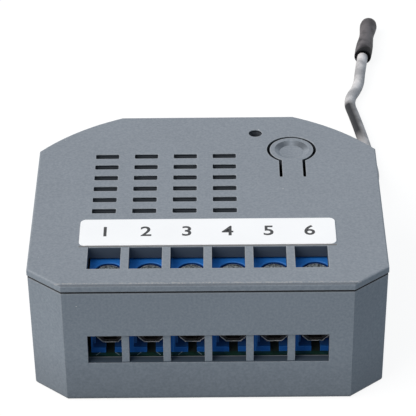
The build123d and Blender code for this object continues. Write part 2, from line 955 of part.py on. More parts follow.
def fusible_resistor():
    x, y = resistor_place()
    z = board_top + resistor_above_board + resistor_radius
    body = rod_x(x - resistor_long / 2, x + resistor_long / 2, y, z, resistor_radius)
    body = fillet(body.edges().filter_by(GeomType.CIRCLE), resistor_edge)
    reach = resistor_long / 2 + resistor_lead_reach + resistor_lead_radius
    body += rod_x(x - reach, x + reach, y, z, resistor_lead_radius)
    for lead_x, lead_y, radius in resistor_leads():
        body += rod(lead_x, lead_y, board_under - pin_stub, z, radius)
    return body


def flat_package(size, place_share):
    """A moulded package with a leg at each corner, under the board."""
    long, wide, high = size
    x = place_share[0] * board_half_x
    y = place_share[1] * board_half_y
    case = span(around(x, long), around(y, wide), (board_under - high, board_under))
    case = chamfer(case.edges().group_by(Axis.Z)[0], package_edge)
    legs_z = (board_under - package_leg_thick, board_under)
    for side in (-1, 1):
        for end in (-1, 1):
            leg_x = x + end * (long / 2 - 2 * package_leg_wide)
            leg_y = sorted((y, y + side * (wide / 2 + package_leg_reach)))
            case += span(around(leg_x, package_leg_wide), leg_y, legs_z)
    return case


def radio_place():
    x = half_inner - radio_from_wall - radio_long / 2
    return x, button_y - switch_side / 2 - radio_gap - radio_wide / 2


def radio_board():
    x, y = radio_place()
    return span(around(x, radio_long), around(y, radio_wide), (board_top, board_top + radio_thick))


def shield_place():
    x, y = radio_place()
    return x - radio_long / 2 + shield_inset + shield_long / 2, y


def radio_shield():
    x, y = shield_place()
    base = board_top + radio_thick
    body = span(around(x, shield_long), around(y, shield_wide), (base, base + shield_high))
    body = fillet(body.edges().filter_by(Axis.Z), shield_wall)
    inner_x = around(x, shield_long - 2 * shield_wall)
    inner_y = around(y, shield_wide - 2 * shield_wall)
    return body - span(inner_x, inner_y, (base - overrun, base + shield_high - shield_wall))


def radio_chip():
    x, y = shield_place()
    base = board_top + radio_thick
    side = around(x, radio_chip_side)
    return span(side, around(y, radio_chip_side), (base, base + radio_chip_high))


def radio_crystal():
    x, y = shield_place()
    base = board_top + radio_thick
    left = x + shield_long / 2 + crystal_gap
    return span((left, left + crystal_long), around(y, crystal_wide), (base, base + crystal_high))


def switch_leads():
    half = switch_side / 2 - switch_pin_inset
    places = []
    for side in (-1, 1):
        for end in (-1, 1):
            places.append((button_x + side * half, button_y + end * half, switch_pin_radius))
    return places


def tact_switch_body():
    top = board_top + switch_high - switch_frame_thick
    side = around(button_x, switch_side)
    body = span(side, around(button_y, switch_side), (board_top, top))
    well = top - plunger_foot_high - plunger_travel - plunger_clear
    body -= rod(button_x, button_y, well, top + overrun, plunger_foot_radius + plunger_clear)
    for x, y, radius in switch_leads():
        body += rod(x, y, board_under - pin_stub, board_top, radius)
    return body


def tact_switch_frame():
    top = board_top + switch_high
    under = top - switch_frame_thick
    body = span(around(button_x, switch_side), around(button_y, switch_side), (under, top))
    outer = switch_side / 2
    for side in (-1, 1):
        x = sorted((button_x + side * outer, button_x + side * (outer + switch_frame_thick)))
        body += span(x, around(button_y, switch_claw_wide), (board_top, top))
    return body - rod(button_x, button_y, under - overrun, top + overrun, plunger_radius + plunger_clear)


def tact_switch_plunger():
    foot_top = board_top + switch_high - switch_frame_thick
    body = rod(button_x, button_y, foot_top - plunger_foot_high, foot_top, plunger_foot_radius)
    return body + rod(button_x, button_y, foot_top, plunger_top, plunger_radius)


def led_leads():
    half = led_lead_pitch / 2
    return [(led_x - half, led_y, led_lead_radius), (led_x + half, led_y, led_lead_radius)]


def status_led():
    flange_top = lid_under - led_under_lid
    dome = lid_top - led_below_top - led_radius
    body = rod(led_x, led_y, flange_top - led_flange_high, flange_top, led_flange_radius)
    body += rod(led_x, led_y, flange_top, dome, led_radius)
    body += Pos(led_x, led_y, dome) * Sphere(led_radius)
    for x, y, radius in led_leads():
        body += rod(x, y, board_under - pin_stub, flange_top - led_flange_high, radius)
    return body


def led_spacer():
    top = lid_under - led_under_lid - led_flange_high
    body = rod(led_x, led_y, board_top, top, led_flange_radius)
    for x, y, radius in led_leads():
        body -= rod(x, y, board_top - overrun, top + overrun, radius + led_lead_clear)
    return body


def through_leads():
    """Every pin that passes through the board: place and radius."""
    leads = terminal_leads() + relay_leads() + bulk_cap_leads() + transformer_leads()
    leads += output_cap_leads() + choke_leads() + varistor_leads() + resistor_leads()
    return leads + switch_leads() + led_leads()


def main_board():
    body = plate(board_inset, board_under, board_top)
    for x, y, radius in through_leads():
        body -= rod(x, y, board_under - overrun, board_top + overrun, radius + pin_clear)
    for x, y in post_places():
        body -= rod(x, y, board_under - overrun, board_top + overrun, peg_radius + peg_clear)
    return body


def solder_joints():
    joints = []
    for x, y, radius in through_leads():
        bore = radius + joint_clear
        cone = Cone(bore + joint_clear, radius + joint_collar, joint_high)
        cone = Pos(x, y, board_under - joint_high / 2) * cone
        joints.append(cone - rod(x, y, board_under - joint_high - overrun, board_under + overrun, bore))
    return Compound(children=joints)


def antenna_points():
    """The wire's route outside the housing, from its exit to the mouth of the cap."""
    place, way = wire_exit()
    second = place + way * antenna_first_run
    return [place, second] + [Vector(*point) for point in antenna_route]


def antenna_bends(points):
    """One arc radius for each inner point, as large as its two runs allow."""
    radii = []
    for before, corner, after in zip(points, points[1:], points[2:]):
        arriving = corner - before
        leaving = after - corner
        half_turn = radians(arriving.get_angle(leaving)) / 2
        radii.append(arc_run_share * min(arriving.length, leaving.length) / tan(half_turn))
    return radii


def antenna_lead():
    place, way = wire_exit()
    run = Plane(origin=place - way * antenna_lead_long, z_dir=way)
    low = (Align.CENTER, Align.CENTER, Align.MIN)
    high = (Align.CENTER, Align.CENTER, Align.MAX)
    body = run * Cylinder(wire_radius, antenna_lead_long, align=low)
    return body + run * Cylinder(antenna_core_radius, antenna_core_long, align=high)


def antenna_wire():
    points = antenna_points()
    radii = antenna_bends(points)
    path = FilletPolyline(*points, radius=radii)
    start = Plane(origin=points[0], z_dir=points[1] - points[0])
    body = sweep(start * Circle(wire_radius), path=path)
    section = Circle(wire_radius).area
    runs = sum((b - a).length for a, b in zip(points, points[1:]))
    print("antenna wire bend radii", [round(value, 1) for value in radii])
    print("antenna wire runs", round(runs, 1), "path", round(path.length, 2))
    print("antenna wire volume", round(body.volume, 3), "by section", round(section * path.length, 3))
    return body


def antenna_cap():
    points = antenna_points()
    way = points[-1] - points[-2]
    waist = cap_long * cap_waist_share
    bulb = cap_long * cap_bulb_share
    side = Spline(
        (cap_mouth_radius, 0),
        (cap_radius, waist / 2),
        (cap_waist_radius, waist),
        (cap_radius, bulb),
        (0, cap_long),
        tangents=((0, 1), (-1, 0)),
    )
    rest = Polyline((0, cap_long), (0, 0), (cap_mouth_radius, 0))
    profile = make_face(Plane.XZ * (side + rest))
    cap = revolve(profile, Axis.Z)
    return Plane(origin=points[-1], z_dir=way) * cap


nodes = {
    "base_shell": base_shell,
    "lid_shell": lid_shell,
    "button_tongue": button_tongue,
    "terminal_label": terminal_label,
    "main_board": main_board,
    "solder_joints": solder_joints,
    "terminal_contacts": terminal_contacts,
    "relay_cover": relay_cover,
    "relay_base": relay_base,
    "relay_coil_pins": relay_coil_pins,
    "relay_bobbin": relay_bobbin,
    "relay_winding": relay_winding,
    "relay_core": relay_core,
    "relay_yoke": relay_yoke,
    "relay_armature": relay_armature,
    "relay_blade": relay_blade,
    "relay_contact_open": lambda: relay_contact(relay_contact_places()[0], open_face, -1),
    "relay_contact_closed": lambda: relay_contact(relay_contact_places()[1], closed_face, 1),
    "bulk_capacitor": bulk_capacitor,
    "transformer_base": transformer_base,
    "transformer_core": transformer_core,
    "transformer_winding": transformer_winding,
    "output_capacitor": output_capacitor,
    "choke_core": choke_core,
    "choke_winding": choke_winding,
    "varistor": varistor,
    "fusible_resistor": fusible_resistor,
    "bridge_rectifier": lambda: flat_package(bridge_size, bridge_place_share),
    "power_chip": lambda: flat_package(power_chip_size, power_chip_place_share),
    "voltage_regulator": lambda: flat_package(regulator_size, regulator_place_share),
    "optocoupler": lambda: flat_package(optocoupler_size, optocoupler_place_share),
    "radio_board": radio_board,
    "radio_shield": radio_shield,
    "radio_chip": radio_chip,
    "radio_crystal": radio_crystal,
    "tact_switch_body": tact_switch_body,
    "tact_switch_frame": tact_switch_frame,
    "tact_switch_plunger": tact_switch_plunger,
    "status_led": status_led,
    "led_spacer": led_spacer,
    "antenna_lead": antenna_lead,
    "antenna_wire": antenna_wire,
    "antenna_cap": antenna_cap,
}

for name, make in nodes.items():
    export_step(make(), f"parts/{name}.step")
for index in range(pole_count // poles_per_block):
    export_step(terminal_block(index), f"parts/terminal_block_{index + 1}.step")
for pole in range(pole_count):
    export_step(clamp_cage(pole), f"parts/clamp_cage_{pole + 1}.step")
    export_step(clamp_screw(pole), f"parts/clamp_screw_{pole + 1}.step")

print("levels: board", round(board_top, 3), "lid", round(lid_under, 3), round(lid_top, 3))
print("cage travel", round(cage_travel, 3), "screw turns", screw_turns)
print("button hinge", [round(value, 3) for value in (button_x, tongue_root, lid_top)])
print("button arm to post edge", round(tongue_long + press_post_radius, 3))
print("armature hinge", [round(value, 3) for value in (armature_left, relay_y, yoke_top)])
exit_place, exit_way = wire_exit()
print("wire exit", [round(value, 3) for value in exit_place])
print("wire way", [round(value, 4) for value in exit_way])
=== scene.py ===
from math import cos, pi, radians, sin

import bmesh
import bpy
from mathutils import Matrix, Vector


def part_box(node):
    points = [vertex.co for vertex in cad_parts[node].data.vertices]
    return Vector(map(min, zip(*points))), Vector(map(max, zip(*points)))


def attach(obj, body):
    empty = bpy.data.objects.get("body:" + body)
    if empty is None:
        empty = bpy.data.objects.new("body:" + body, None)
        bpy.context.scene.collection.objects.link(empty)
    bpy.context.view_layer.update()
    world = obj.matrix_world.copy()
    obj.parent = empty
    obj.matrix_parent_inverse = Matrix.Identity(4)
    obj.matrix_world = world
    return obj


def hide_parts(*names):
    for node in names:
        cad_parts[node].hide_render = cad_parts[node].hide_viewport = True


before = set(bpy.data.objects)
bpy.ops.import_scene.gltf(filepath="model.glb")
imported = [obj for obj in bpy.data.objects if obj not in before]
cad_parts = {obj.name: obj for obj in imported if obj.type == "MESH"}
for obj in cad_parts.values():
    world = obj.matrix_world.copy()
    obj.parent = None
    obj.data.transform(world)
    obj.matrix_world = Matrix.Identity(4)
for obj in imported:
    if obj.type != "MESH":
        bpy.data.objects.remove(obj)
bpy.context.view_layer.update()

mm = 0.001
scene = bpy.context.scene

# Case
# Two mouldings of the same blue-grey polycarbonate: the deep base, and the lid that snaps into
# it, with the button's tongue cut free in it. The spark-eroded tool left a fine even grain, and
# handling has left specks of dust. The pale edges are partly worn by handling and partly painted
# highlight. Painted shade darkens the foot, the cut faces, the groove, the dish, the lid's front
# edge and the strip before the label, and painted sky light cools the walls.
case_low, case_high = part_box("lid_shell")
case_front = case_low.y
case_top = case_high.z
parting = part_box("base_shell")[1].z
block_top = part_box("terminal_block_1")[1].z
label_low, label_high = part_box("terminal_label")
button_low, button_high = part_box("button_tongue")
button_radius = (button_high.x - button_low.x) / 2
button_middle = (button_low.x + button_radius, button_high.y - button_radius)

soft_detail = 2.0
fine_detail = 3.0
bevel_samples = 6


def new_finish(name, roughness, metallic=0.0):
    """A node material with its tree and its shader, before any pattern is added."""
    finish = bpy.data.materials.new(name)
    finish.use_nodes = True
    tree = finish.node_tree
    shader = tree.nodes["Principled BSDF"]
    shader.inputs["Roughness"].default_value = roughness
    shader.inputs["Metallic"].default_value = metallic
    return finish, tree, shader


def feed(tree, socket, value):
    """Links a pattern to a socket, or sets a colour, a direction or a number on it."""
    if isinstance(value, bpy.types.NodeSocket):
        tree.links.new(value, socket)
    elif isinstance(value, tuple):
        socket.default_value = (*value, 1)
    else:
        socket.default_value = value


def place_of(tree, stretch=(1, 1, 1)):
    """Places on the piece, in metres, stretched along an axis where the pattern is."""
    coordinate = tree.nodes.new("ShaderNodeTexCoord")
    mapping = tree.nodes.new("ShaderNodeMapping")
    mapping.inputs["Scale"].default_value = stretch
    tree.links.new(coordinate.outputs["Object"], mapping.inputs["Vector"])
    return mapping.outputs["Vector"]


def parts_of(tree, vector):
    """The X, Y and Z of a place or a direction, on their own."""
    split = tree.nodes.new("ShaderNodeSeparateXYZ")
    tree.links.new(vector, split.inputs["Vector"])
    return split.outputs


def surface_normal(tree):
    """The surface's own direction."""
    return tree.nodes.new("ShaderNodeNewGeometry").outputs["Normal"]


def rounded_normal(tree, radius):
    """The surface's direction with its sharp edges taken as rounded by the radius."""
    bevel = tree.nodes.new("ShaderNodeBevel")
    bevel.samples = bevel_samples
    bevel.inputs["Radius"].default_value = radius
    return bevel.outputs["Normal"]


def cloudy(tree, size, detail, stretch=(1, 1, 1)):
    """A soft random pattern whose patches are about the given size."""
    noise = tree.nodes.new("ShaderNodeTexNoise")
    noise.inputs["Scale"].default_value = 1 / size
    noise.inputs["Detail"].default_value = detail
    tree.links.new(place_of(tree, stretch), noise.inputs["Vector"])
    return noise.outputs["Fac"]


def graded(tree, value, low, high, low_at=0.3, high_at=0.7):
    """A colour that runs from low to high as a pattern's value rises."""
    ramp = tree.nodes.new("ShaderNodeValToRGB")
    for stop, colour, place in zip(ramp.color_ramp.elements, (low, high), (low_at, high_at)):
        stop.position = place
        stop.color = (*colour, 1)
    tree.links.new(value, ramp.inputs["Fac"])
    return ramp.outputs["Color"]


def blended(tree, share, first, second, kind="MIX"):
    """Two colours mixed, or the first multiplied by the second, as far as the share says."""
    mix = tree.nodes.new("ShaderNodeMix")
    mix.data_type = "RGBA"
    mix.blend_type = kind
    first_colour, second_colour = mix.inputs[6:8]
    feed(tree, mix.inputs["Factor"], share)
    feed(tree, first_colour, first)
    feed(tree, second_colour, second)
    mixed_colour = mix.outputs[2]
    return mixed_colour


def reckoned(tree, operation, first, second=0.0, third=0.0, clamp=False):
    """One step of arithmetic on patterns or numbers."""
    node = tree.nodes.new("ShaderNodeMath")
    node.operation = operation
    node.use_clamp = clamp
    for socket, value in zip(node.inputs, (first, second, third)):
        feed(tree, socket, value)
    return node.outputs["Value"]


def times(tree, product, *factors):
    """Patterns or numbers multiplied together."""
    for factor in factors:
        product = reckoned(tree, "MULTIPLY", product, factor)
    return product


def reach_along(tree, place, way):
    """How far a place or a direction reaches along another."""
    dot = tree.nodes.new("ShaderNodeVectorMath")
    dot.operation = "DOT_PRODUCT"
    feed(tree, dot.inputs[0], place)
    feed(tree, dot.inputs[1], way)
    return dot.outputs["Value"]


def edge_share(tree, radius, gain):
    """How near a place is to a sharp edge: 0 on the flat, up to 1 on the edge."""
    alike = reach_along(tree, rounded_normal(tree, radius), surface_normal(tree))
    return reckoned(tree, "MULTIPLY", reckoned(tree, "SUBTRACT", 1.0, alike), gain, clamp=True)


def between(tree, value, low, high):
    """1 where a value lies between two limits."""
    above = reckoned(tree, "GREATER_THAN", value, low)
    below = reckoned(tree, "LESS_THAN", value, high)
    return times(tree, above, below)


def within(tree, axes, low, high):
    """1 inside a box."""
    return times(tree, *[between(tree, axes[n], low[n], high[n]) for n in range(3)])


def squared_reach(tree, axes, middle):
    """The square of the distance from an upright line."""
    across = reckoned(tree, "SUBTRACT", axes["X"], middle[0])
    deep = reckoned(tree, "SUBTRACT", axes["Y"], middle[1])
    return reckoned(tree, "MULTIPLY_ADD", across, across, times(tree, deep, deep))


def embossed(tree, shader, value, depth, strength, radius=None):
    """The pattern as relief on the surface, over rounded edges where a radius is given."""
    bump = tree.nodes.new("ShaderNodeBump")
    bump.inputs["Distance"].default_value = depth
    bump.inputs["Strength"].default_value = strength
    tree.links.new(value, bump.inputs["Height"])
    if radius:
        tree.links.new(rounded_normal(tree, radius), bump.inputs["Normal"])
    tree.links.new(bump.outputs["Normal"], shader.inputs["Normal"])


def dress(finish, *nodes):
    """Gives a finish to pieces that come with the frame."""
    for node in nodes:
        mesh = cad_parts[node].data
        mesh.materials.clear()
        mesh.materials.append(finish)


case_light = (0.27, 0.296, 0.33)
case_dark = (0.212, 0.238, 0.271)
mottle_size = 0.32 * mm
cloud_light = (1.02, 1.02, 1.02)
cloud_dark = (0.975, 0.975, 0.975)
cloud_size = 9.0 * mm
foot_shade = 0.74
foot_high = 8.0 * mm
painted_sky_tint = (0.98, 1.04, 1.08)


def case_tone(tree, axes, facing):
    """The moulded blue-grey: mottled, with painted shade towards the foot and painted sky light cooling the
    walls.
    """
    mottle = graded(tree, cloudy(tree, mottle_size, fine_detail), case_dark, case_light)
    cloud = graded(tree, cloudy(tree, cloud_size, soft_detail), cloud_dark, cloud_light)
    tone = blended(tree, 1.0, mottle, cloud, "MULTIPLY")
    # Painted shade: the colour darkens towards the foot.
    rise = (1 - foot_shade) / foot_high
    shade = reckoned(tree, "MULTIPLY_ADD", axes["Z"], rise, foot_shade, clamp=True)
    tone = blended(tree, 1.0, tone, shade, "MULTIPLY")
    # Painted sky light: faces that do not look up are tinted bluer.
    upright = reckoned(tree, "SUBTRACT", 1.0, facing["Z"], clamp=True)
    return blended(tree, upright, tone, painted_sky_tint, "MULTIPLY")


worn_and_lit_grey = (0.43, 0.455, 0.475)
edge_shade = (0.02, 0.028, 0.038)
groove_shade = (0.012, 0.014, 0.017)
rim_half = 0.42 * mm
rim_highlight_share = 0.16
worn_and_lit_round = 0.24 * mm
worn_and_lit_gain = 14.0
worn_and_lit_most = 0.5
worn_top = 0.3 * mm
unworn_share = 0.3
root_reach = 0.3 * mm
root_half = 1.3 * mm
front_shade_deep = 0.38 * mm
front_shade_share = 0.46
groove_half = 0.17 * mm
skin_left = 0.12 * mm
level_play = 0.03 * mm


def worn_edges(tree, axes, colour):
    """Pale edges of wear and painted highlight, a painted highlight under the parting, and painted shade
    behind the lid's front edge and in the parting groove.
    """
    # Painted highlight on the base's rim just under the parting line.
    rim = between(tree, axes["Z"], parting - rim_half, parting)
    colour = blended(tree, times(tree, rim, rim_highlight_share), colour, worn_and_lit_grey)

    # Pale edges, partly wear and partly painted highlight, fullest on the top.
    handled = reckoned(tree, "GREATER_THAN", axes["Z"], case_top - worn_top)
    wear = reckoned(tree, "MULTIPLY_ADD", handled, 1 - unworn_share, unworn_share)
    worn_and_lit = times(tree, edge_share(tree, worn_and_lit_round, worn_and_lit_gain), worn_and_lit_most, wear)
    root_low = (button_middle[0] - root_half, button_low.y - root_reach, 0)
    root_high = (button_middle[0] + root_half, button_low.y + root_reach, case_top + level_play)
    root = within(tree, axes, root_low, root_high)
    worn_and_lit = reckoned(tree, "SUBTRACT", worn_and_lit, root, clamp=True)
    colour = blended(tree, worn_and_lit, colour, worn_and_lit_grey)

    # Painted shade on the top just behind the lid's front edge.
    front_shade_low = (case_low.x - level_play, case_front - level_play, case_top - skin_left)
    front_shade_high = (case_high.x + level_play, case_front + front_shade_deep, case_top + level_play)
    turned = within(tree, axes, front_shade_low, front_shade_high)
    colour = blended(tree, times(tree, turned, front_shade_share), colour, edge_shade)
    # Painted shade in the groove at the parting line.
    groove = between(tree, axes["Z"], parting - groove_half, parting + groove_half)
    return blended(tree, groove, colour, groove_shade)


cut_shade_slate = (0.06, 0.08, 0.112)
cut_deep_shade = (0.012, 0.015, 0.02)
sill_shade_slate = (0.05, 0.069, 0.093)
vent_shade_grey = (0.06, 0.07, 0.084)
gap_high = 0.2 * mm
skin_front = 0.58 * mm
cuts_half = 17.0 * mm
cuts_back = 18.0 * mm
vents_front = -10.5 * mm
vent_rim = 0.32 * mm
sill_high = 6.47 * mm
sill_front = 0.33 * mm
sill_back = 1.75 * mm
sill_lip = 1.52 * mm
lip_share = 0.4
dish_rim = 0.5 * mm
dish_reach = button_radius - dish_rim


def cut_faces(tree, axes, from_button, colour):
    """Painted shade on the walls of windows and vents and on the lower windows' sill, with its pale lip."""
    # Painted shade on the window walls, darkest just above the blocks.
    low_down = reckoned(tree, "LESS_THAN", axes["Z"], block_top + gap_high)
    cut_shade = blended(tree, low_down, cut_shade_slate, cut_deep_shade)
    windows_low = (-cuts_half, case_front + skin_front, 0)
    windows_high = (cuts_half, vents_front, case_top - skin_left)
    colour = blended(tree, within(tree, axes, windows_low, windows_high), colour, cut_shade)

    # Painted shade on the sill of the lower windows.
    sill_near = (-cuts_half, case_front + sill_front, sill_high - skin_left)
    sill_far = (cuts_half, case_front + sill_back, sill_high + level_play)
    sill = within(tree, axes, sill_near, sill_far)
    colour = blended(tree, sill, colour, sill_shade_slate)
    behind = reckoned(tree, "GREATER_THAN", axes["Y"], case_front + sill_lip)
    colour = blended(tree, times(tree, sill, behind, lip_share), colour, worn_and_lit_grey)

    # Painted shade in the vents, darkest round their top.
    vents_low = (-cuts_half, vents_front, 0)
    vents_high = (cuts_half, cuts_back, case_top - skin_left)
    beside_dish = reckoned(tree, "GREATER_THAN", from_button, dish_reach**2)
    vents = times(tree, within(tree, axes, vents_low, vents_high), beside_dish)
    deep = reckoned(tree, "LESS_THAN", axes["Z"], case_top - vent_rim)
    return blended(tree, vents, colour, blended(tree, deep, cut_deep_shade, vent_shade_grey))


dish_skin = 0.9 * mm
slant_gain = 6.0


def shaded_dish(tree, axes, facing, from_button, colour):
    """Painted shade on the button dish's far wall, darkest where it faces forwards and aside."""
    aslant = times(tree, facing["Y"], reckoned(tree, "ABSOLUTE", facing["X"]))
    far_wall_shade = reckoned(tree, "MULTIPLY", aslant, -slant_gain, clamp=True)
    inside = reckoned(tree, "LESS_THAN", from_button, dish_reach**2)
    upper = reckoned(tree, "GREATER_THAN", axes["Z"], case_top - dish_skin)
    return blended(tree, times(tree, far_wall_shade, inside, upper), colour, edge_shade)


label_shadow_brown = (0.15, 0.145, 0.138)
label_shadow_wide = 0.34 * mm
label_shadow_share = 0.8
scuffed_beige = (0.52, 0.49, 0.45)
scuff_size = 0.16 * mm
scuff_stretch = (0.6, 1, 1)
scuff_from = 0.47
scuff_to = 0.58
scuff_start = 0.38 * mm
scuff_end = 0.72 * mm
scuff_drop = 0.3 * mm
scuff_share = 0.38
dust_white = (0.75, 0.75, 0.74)
dust_pitch = 4.6 * mm
dust_radius = 0.0644 * mm
black = (0, 0, 0)
white = (1, 1, 1)


def soiled(tree, axes, colour):
    """Painted shadow in front of the label, scuffs behind the lid's front edge, and dust all over."""
    # Painted shadow on the strip just in front of the label.
    label_shadow_low = (label_low.x, label_low.y - label_shadow_wide, case_top - level_play)
    label_shadow_high = (label_high.x, label_low.y, case_top + level_play)
    label_shadow = times(tree, within(tree, axes, label_shadow_low, label_shadow_high), label_shadow_share)
    colour = blended(tree, label_shadow, colour, label_shadow_brown)

    scratches = cloudy(tree, scuff_size, fine_detail, scuff_stretch)
    scuffs = graded(tree, scratches, black, white, scuff_from, scuff_to)
    edge_low = (case_low.x, case_front + scuff_start, case_top - scuff_drop)
    edge_high = (case_high.x, case_front + scuff_end, case_top + scuff_drop)
    scuffs = times(tree, scuffs, within(tree, axes, edge_low, edge_high), scuff_share)
    colour = blended(tree, scuffs, colour, scuffed_beige)

    specks = tree.nodes.new("ShaderNodeTexVoronoi")
    specks.inputs["Scale"].default_value = 1 / dust_pitch
    tree.links.new(place_of(tree), specks.inputs["Vector"])
    dust = reckoned(tree, "LESS_THAN", specks.outputs["Distance"], dust_radius / dust_pitch)
    return blended(tree, dust, colour, dust_white)


case_rough = 0.55
case_gloss = 0.25
grain_size = 0.2 * mm
grain_relief = 0.012 * mm
grain_strength = 0.7
hollow_radius = 1.5 * mm
hollow_deep = 0.16 * mm
edge_round = 0.08 * mm


def case_finish():
    """The case's plastic, with a fine grain and a soft hollow in the floor of the dish."""
    finish, tree, shader = new_finish("case_plastic", case_rough)
    shader.inputs["Specular IOR Level"].default_value = case_gloss
    axes = parts_of(tree, place_of(tree))
    facing = parts_of(tree, surface_normal(tree))
    from_button = squared_reach(tree, axes, button_middle)
    colour = case_tone(tree, axes, facing)
    colour = worn_edges(tree, axes, colour)
    colour = cut_faces(tree, axes, from_button, colour)
    colour = shaded_dish(tree, axes, facing, from_button, colour)
    tree.links.new(soiled(tree, axes, colour), shader.inputs["Base Color"])
    hollow = reckoned(tree, "DIVIDE", from_button, hollow_radius**2, clamp=True)
    grain = cloudy(tree, grain_size, fine_detail)
    height = reckoned(tree, "MULTIPLY_ADD", hollow, hollow_deep / grain_relief, grain)
    embossed(tree, shader, height, grain_relief, grain_strength, edge_round)
    return finish


dress(case_finish(), "base_shell", "lid_shell", "button_tongue")

# Circuit boards
# Glass-epoxy laminate under dark green solder mask, through which the copper tracks show as
# slightly paler bands. A pair of pale printed strokes flanks each of the first three poles.
mask_green = (0.008, 0.035, 0.024)
track_green = (0.012, 0.05, 0.033)
painted_board_shade = (0.03, 0.04, 0.033)
mask_front = 2.8 * mm
mask_rough = 0.32
# How far apart a wave texture of scale 1 draws its diagonal bands on a level face.
diagonal_period = 0.444
track_pitch = 2.368 * mm
track_bend = 6.0
track_from = 0.45
track_to = 0.55
track_relief = 0.03 * mm
track_strength = 0.4


def banded(tree, direction, scale, bend=0.0):
    """Straight or bent bands, side by side."""
    wave = tree.nodes.new("ShaderNodeTexWave")
    wave.bands_direction = direction
    wave.inputs["Scale"].default_value = scale
    wave.inputs["Distortion"].default_value = bend
    tree.links.new(place_of(tree), wave.inputs["Vector"])
    return wave.outputs["Fac"]


def board_finish():
    """Solder mask over tracks, with a dull painted shade behind the front edge that the windows show."""
    finish, tree, shader = new_finish("solder_mask", mask_rough)
    bands = banded(tree, "DIAGONAL", diagonal_period / track_pitch, track_bend)
    tracks = graded(tree, bands, mask_green, track_green, track_from, track_to)
    # Painted shade on the board behind its front edge.
    away = parts_of(tree, place_of(tree))["Y"]
    deep = reckoned(tree, "GREATER_THAN", away, case_front + mask_front)
    tree.links.new(blended(tree, deep, tracks, painted_board_shade), shader.inputs["Base Color"])
    embossed(tree, shader, bands, track_relief, track_strength)
    return finish


dress(board_finish(), "main_board", "radio_board")

print_grey = (0.3, 0.38, 0.36)
print_rough = 0.6
thin_ink = 0.86
ink_patch = 0.2 * mm


def dimmed(colour, share):
    """A colour darkened to a share of itself."""
    return tuple(value * share for value in colour)


def plain_print(name, colour, roughness):
    """Ink: one colour with a faint unevenness from its screen or ribbon."""
    finish, tree, shader = new_finish(name, roughness)
    patches = cloudy(tree, ink_patch, fine_detail)
    uneven = graded(tree, patches, dimmed(colour, thin_ink), colour)
    tree.links.new(uneven, shader.inputs["Base Color"])
    return finish


def finished(name, mesh, finish, smooth=False):
    """Turns a bmesh into a piece of the scene, riding on the housing, its place in its mesh."""
    bmesh.ops.recalc_face_normals(mesh, faces=mesh.faces)
    data = bpy.data.meshes.new(name)
    mesh.to_mesh(data)
    mesh.free()
    for face in data.polygons:
        face.use_smooth = smooth
    piece = bpy.data.objects.new(name, data)
    scene.collection.objects.link(piece)
    data.materials.append(finish)
    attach(piece, "housing")
    return piece


stroke_long = 0.85 * mm
stroke_wide = 0.11 * mm
stroke_thick = 0.02 * mm
stroke_lean = radians(40)
stroke_shift = -0.35 * mm
stroke_reach = 1.3 * mm
stroke_from_edge = 0.36 * mm
printed_poles = 3
pole_numbers = range(1, 7)

board_low, board_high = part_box("main_board")
pole_places = []
for number in pole_numbers:
    low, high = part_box(f"clamp_screw_{number}")
    pole_places.append(Vector(((low.x + high.x) / 2, (low.y + high.y) / 2, high.z)))

strokes = bmesh.new()
for pole in pole_places[:printed_poles]:
    for side in (-1, 1):
        stroke = bmesh.ops.create_cube(strokes, size=1.0)["verts"]
        bmesh.ops.scale(strokes, vec=(stroke_wide, stroke_long, stroke_thick), verts=stroke)
        lean = Matrix.Rotation(side * stroke_lean, 3, "Z")
        bmesh.ops.rotate(strokes, matrix=lean, verts=stroke)
        across = pole.x + stroke_shift + side * stroke_reach
        place = (across, board_low.y + stroke_from_edge, board_high.z)
        bmesh.ops.translate(strokes, vec=place, verts=stroke)
printed_strokes = finished("board_print", strokes, plain_print("board_ink", print_grey, print_rough))

# Terminal blocks
# Royal-blue polyamide mouldings with a silky skin. Glass in the resin gives it a faint streaky
# grain. Painted highlight pales their edges, and painted shade darkens the recesses, rails and cells.
block_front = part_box("terminal_block_1")[0].y
block_blue = (0.015, 0.175, 0.6)
block_deep_blue = (0.012, 0.14, 0.49)
recess_shade_blue = (0.004, 0.04, 0.19)
rail_shade_blue = (0.006, 0.1, 0.4)
cell_shade_navy = (0.022, 0.1, 0.32)
highlight_blue = (0.06, 0.27, 0.66)
block_rough = 0.6
block_gloss = 0.3
streak_size = 0.5 * mm
streak_stretch = (0.35, 1, 1)
streak_relief = 0.02 * mm
streak_strength = 0.5
top_skin = 0.12 * mm
front_skin = 0.3 * mm
recess_deep = 2.6 * mm
lit_round = 0.15 * mm
lit_gain = 5.0
lit_most = 0.6


def block_finish():
    """Blue polyamide, with painted shade in the screw recesses, on the front rails below them and deeper in
    the cells behind the rails, and painted highlight on its edges.
    """
    finish, tree, shader = new_finish("block_polyamide", block_rough)
    shader.inputs["Specular IOR Level"].default_value = block_gloss
    streaks = cloudy(tree, streak_size, fine_detail, streak_stretch)
    colour = graded(tree, streaks, block_deep_blue, block_blue)
    axes = parts_of(tree, place_of(tree))
    # Painted shade in the screw recesses.
    recess = between(tree, axes["Z"], block_top - recess_deep, block_top - top_skin)
    colour = blended(tree, recess, colour, recess_shade_blue)
    # Painted shade on the rails below the recesses, deeper in the cells behind them.
    below = reckoned(tree, "LESS_THAN", axes["Z"], block_top - recess_deep)
    colour = blended(tree, below, colour, rail_shade_blue)
    behind = reckoned(tree, "GREATER_THAN", axes["Y"], block_front + front_skin)
    colour = blended(tree, times(tree, below, behind), colour, cell_shade_navy)
    # Painted highlight on the edges.
    lit = times(tree, edge_share(tree, lit_round, lit_gain), lit_most)
    tree.links.new(blended(tree, lit, colour, highlight_blue), shader.inputs["Base Color"])
    embossed(tree, shader, streaks, streak_relief, streak_strength)
    return finish


dress(block_finish(), "terminal_block_1", "terminal_block_2", "terminal_block_3")

